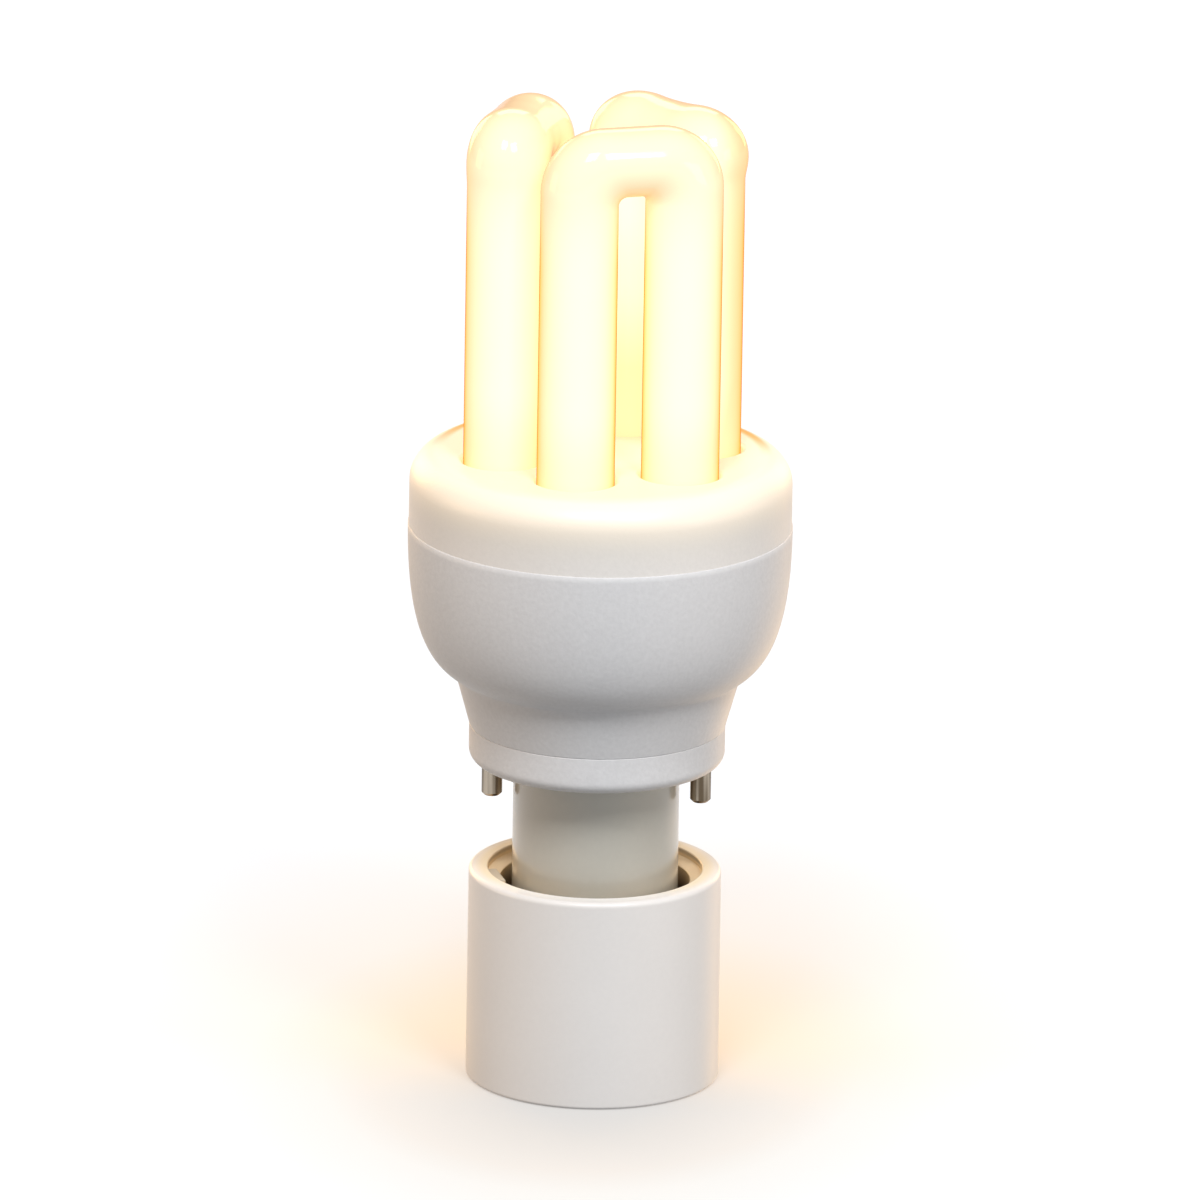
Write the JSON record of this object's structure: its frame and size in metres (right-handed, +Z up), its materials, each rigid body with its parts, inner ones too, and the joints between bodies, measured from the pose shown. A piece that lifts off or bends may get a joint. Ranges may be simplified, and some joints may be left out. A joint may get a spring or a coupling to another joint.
{
  "type": "triple u-tube compact fluorescent bulb",
  "caption": "Compact fluorescent bulb: parallel U-shaped glass tubes on a bowl housing, with contact pins and a round plug post that stands in a cup holder.",
  "frame": {"origin": "middle of the cup holder's foot, on the surface that it stands on", "axes": "+Z up along the lamp's axis; the contact pins lie along X; the picture looks from -Y"},
  "size_m": [0.044, 0.044, 0.1154],
  "materials": {
    "lit_glass": "lit warm-white phosphor-coated glass",
    "cover_plastic": "white moulded plastic, satin",
    "housing_plastic": "light grey moulded plastic, fine texture",
    "post_plastic": "grey moulded plastic, polished",
    "pin_nickel": "nickel-plated, turned",
    "cup_plastic": "white moulded plastic, semi-gloss",
    "cement": "poured cement",
    "tinned_wire": "tinned",
    "wire_sleeve": "silicone sleeve",
    "board_laminate": "paper laminate",
    "can_sleeve": "shrunk sleeve",
    "film_dip": "dipped epoxy",
    "ferrite": "sintered",
    "bobbin_plastic": "moulded",
    "copper_winding": "lacquered copper wire",
    "black_epoxy": "moulded epoxy",
    "resistor_lacquer": "lacquered",
    "thermistor_disc": "dipped"
  },
  "bodies": {
    "root": {"discharge_tube": "lit_glass", "top_cover": "cover_plastic", "lower_housing": "housing_plastic", "base_cap": "housing_plastic", "plug_post": "post_plastic", "contact_pin_left": "pin_nickel", "contact_pin_right": "pin_nickel", "holder_cup": "cup_plastic", "tube_cement": "cement", "tube_lead_wires": "tinned_wire", "supply_wires": "wire_sleeve", "circuit_board": "board_laminate", "filter_capacitor": "can_sleeve", "resonant_capacitor": "film_dip", "coupling_capacitor": "film_dip", "choke_core": "ferrite", "choke_bobbin": "bobbin_plastic", "choke_winding": "copper_winding", "toroid_core": "ferrite", "toroid_winding": "copper_winding", "transistor_high": "black_epoxy", "transistor_low": "black_epoxy", "rectifier_diodes": "black_epoxy", "line_choke": "black_epoxy", "fuse_resistor": "resistor_lacquer", "start_thermistor": "thermistor_disc"}
  },
  "joints": []
}
